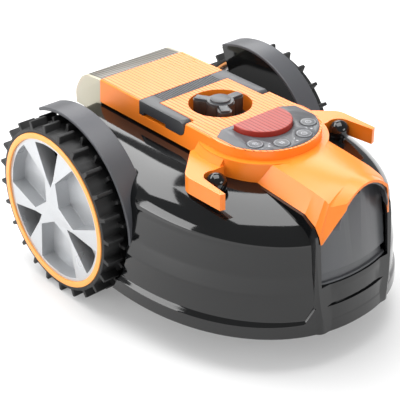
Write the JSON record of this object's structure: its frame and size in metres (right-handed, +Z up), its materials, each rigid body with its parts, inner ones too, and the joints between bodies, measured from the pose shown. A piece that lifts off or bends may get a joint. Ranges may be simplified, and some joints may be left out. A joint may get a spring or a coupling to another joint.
{
  "type": "robotic lawn mower",
  "caption": "Robotic lawn mower: domed black body on lugged rear wheels and front casters, orange top cover, stop button, keys, height knob, folding handle and battery door.",
  "frame": {"origin": "on the ground under the middle of the overall box", "axes": "+Z up; the mower drives towards -Y, so -X is its right side"},
  "size_m": [0.398, 0.474, 0.2543],
  "materials": {
    "orange_plastic": "satin moulded plastic",
    "black_plastic": "high gloss",
    "grey_plastic": "fine satin",
    "inner_plastic": "moulded matt",
    "red_plastic": "satin",
    "knob_black": "matt",
    "silver_plastic": "silver metallic paint",
    "smoke_plastic": "translucent smoke",
    "pack_plastic": "matt",
    "tyre_rubber": "matt rubber",
    "rubber": "matt",
    "steel": "bright",
    "blade_steel": "ground",
    "circuit_board": "solder mask",
    "lens": "dark polished window"
  },
  "bodies": {
    "chassis": {"chassis_base": "inner_plastic", "shell": "black_plastic", "top_cover": "orange_plastic", "panel_overlay": "grey_plastic", "sensor_bezel": "grey_plastic", "sensor_lens": "lens", "sensor_module": "circuit_board", "bumper_posts": "rubber", "battery_bay": "black_plastic", "battery_pack": "pack_plastic", "main_board": "circuit_board", "control_board": "circuit_board", "guide_tower": "inner_plastic", "right_gearbox": "inner_plastic", "left_gearbox": "inner_plastic", "right_drive_motor": "steel", "left_drive_motor": "steel", "stop_spring": "steel", "door_pin": "steel", "handle_pins": "steel", "chassis_screws": "steel"},
    "right_wheel": {"right_tyre": "tyre_rubber", "right_rim": "orange_plastic", "right_hub": "silver_plastic", "right_axle": "steel"},
    "left_wheel": {"left_tyre": "tyre_rubber", "left_rim": "orange_plastic", "left_hub": "silver_plastic", "left_axle": "steel"},
    "carriage": {"motor_carriage": "inner_plastic", "cutting_motor": "steel"},
    "cutting_disc": {"blade_disc": "inner_plastic", "blade_screws": "steel"},
    "blade_1": {"blade_1": "blade_steel"},
    "blade_2": {"blade_2": "blade_steel"},
    "blade_3": {"blade_3": "blade_steel"},
    "right_caster": {"right_caster_fork": "inner_plastic", "right_caster_pin": "steel", "right_caster_clip": "steel"},
    "right_caster_wheel": {"right_caster_wheel": "rubber"},
    "left_caster": {"left_caster_fork": "inner_plastic", "left_caster_pin": "steel", "left_caster_clip": "steel"},
    "left_caster_wheel": {"left_caster_wheel": "rubber"},
    "height_knob": {"height_knob": "knob_black", "knob_grip": "grey_plastic", "height_spindle": "steel"},
    "stop_button": {"stop_button": "red_plastic"},
    "panel_key_1": {"panel_key_1": "grey_plastic"},
    "panel_key_2": {"panel_key_2": "grey_plastic"},
    "panel_key_3": {"panel_key_3": "grey_plastic"},
    "panel_key_4": {"panel_key_4": "grey_plastic"},
    "carry_handle": {"carry_handle": "grey_plastic"},
    "battery_door": {"battery_door": "smoke_plastic"}
  },
  "joints": [
    {"name": "right_wheel_spin", "type": "hinge", "parent": "chassis", "child": "right_wheel", "pos_m": [-0.18, 0.117, 0.11996], "axis": [1, 0, 0], "continuous": true},
    {"name": "left_wheel_spin", "type": "hinge", "parent": "chassis", "child": "left_wheel", "pos_m": [0.18, 0.117, 0.11996], "axis": [1, 0, 0], "continuous": true},
    {"name": "deck_height", "type": "slide", "parent": "chassis", "child": "carriage", "axis": [0, 0, 1], "range_m": [0, 0.03]},
    {"name": "height_knob_turn", "type": "hinge", "parent": "chassis", "child": "height_knob", "pos_m": [0, 0.016, 0.235], "axis": [0, 0, 1], "range_deg": [0, 270]},
    {"name": "cutting_disc_spin", "type": "hinge", "parent": "carriage", "child": "cutting_disc", "pos_m": [0, 0.016, 0.0225], "axis": [0, 0, 1], "continuous": true},
    {"name": "blade_1_pivot", "type": "hinge", "parent": "cutting_disc", "child": "blade_1", "pos_m": [0, 0.069, 0.0204], "axis": [0, 0, 1], "continuous": true},
    {"name": "blade_2_pivot", "type": "hinge", "parent": "cutting_disc", "child": "blade_2", "pos_m": [-0.0459, -0.0105, 0.0204], "axis": [0, 0, 1], "continuous": true},
    {"name": "blade_3_pivot", "type": "hinge", "parent": "cutting_disc", "child": "blade_3", "pos_m": [0.0459, -0.0105, 0.0204], "axis": [0, 0, 1], "continuous": true},
    {"name": "right_caster_swivel", "type": "hinge", "parent": "chassis", "child": "right_caster", "pos_m": [-0.062, -0.122, 0.07], "axis": [0, 0, 1], "continuous": true},
    {"name": "right_caster_roll", "type": "hinge", "parent": "right_caster", "child": "right_caster_wheel", "pos_m": [-0.062, -0.108, 0.022], "axis": [1, 0, 0], "continuous": true},
    {"name": "left_caster_swivel", "type": "hinge", "parent": "chassis", "child": "left_caster", "pos_m": [0.062, -0.122, 0.07], "axis": [0, 0, 1], "continuous": true},
    {"name": "left_caster_roll", "type": "hinge", "parent": "left_caster", "child": "left_caster_wheel", "pos_m": [0.062, -0.108, 0.022], "axis": [1, 0, 0], "continuous": true},
    {"name": "stop_button_press", "type": "slide", "parent": "chassis", "child": "stop_button", "axis": [0, 0, -1], "range_m": [0, 0.004], "stiffness_N_per_m": 900, "springref_m": -0.004, "deforming": ["stop_spring"]},
    {"name": "panel_key_1_press", "type": "slide", "parent": "chassis", "child": "panel_key_1", "axis": [0, 0, -1], "range_m": [0, 0.0008], "stiffness_N_per_m": 600, "springref_m": -0.002},
    {"name": "panel_key_2_press", "type": "slide", "parent": "chassis", "child": "panel_key_2", "axis": [0, 0, -1], "range_m": [0, 0.0008], "stiffness_N_per_m": 600, "springref_m": -0.002},
    {"name": "panel_key_3_press", "type": "slide", "parent": "chassis", "child": "panel_key_3", "axis": [0, 0, -1], "range_m": [0, 0.0008], "stiffness_N_per_m": 600, "springref_m": -0.002},
    {"name": "panel_key_4_press", "type": "slide", "parent": "chassis", "child": "panel_key_4", "axis": [0, 0, -1], "range_m": [0, 0.0008], "stiffness_N_per_m": 600, "springref_m": -0.002},
    {"name": "carry_handle_lift", "type": "hinge", "parent": "chassis", "child": "carry_handle", "pos_m": [0, 0.0115, 0.2375], "axis": [1, 0, 0], "range_deg": [0, 100]},
    {"name": "battery_door_open", "type": "hinge", "parent": "chassis", "child": "battery_door", "pos_m": [0, 0.1792, 0.2413], "axis": [1, 0, 0], "range_deg": [0, 90]}
  ],
  "couplings": [
    {"joint": "height_knob_turn", "follows": "deck_height", "rad_per_m": 157.08}
  ]
}
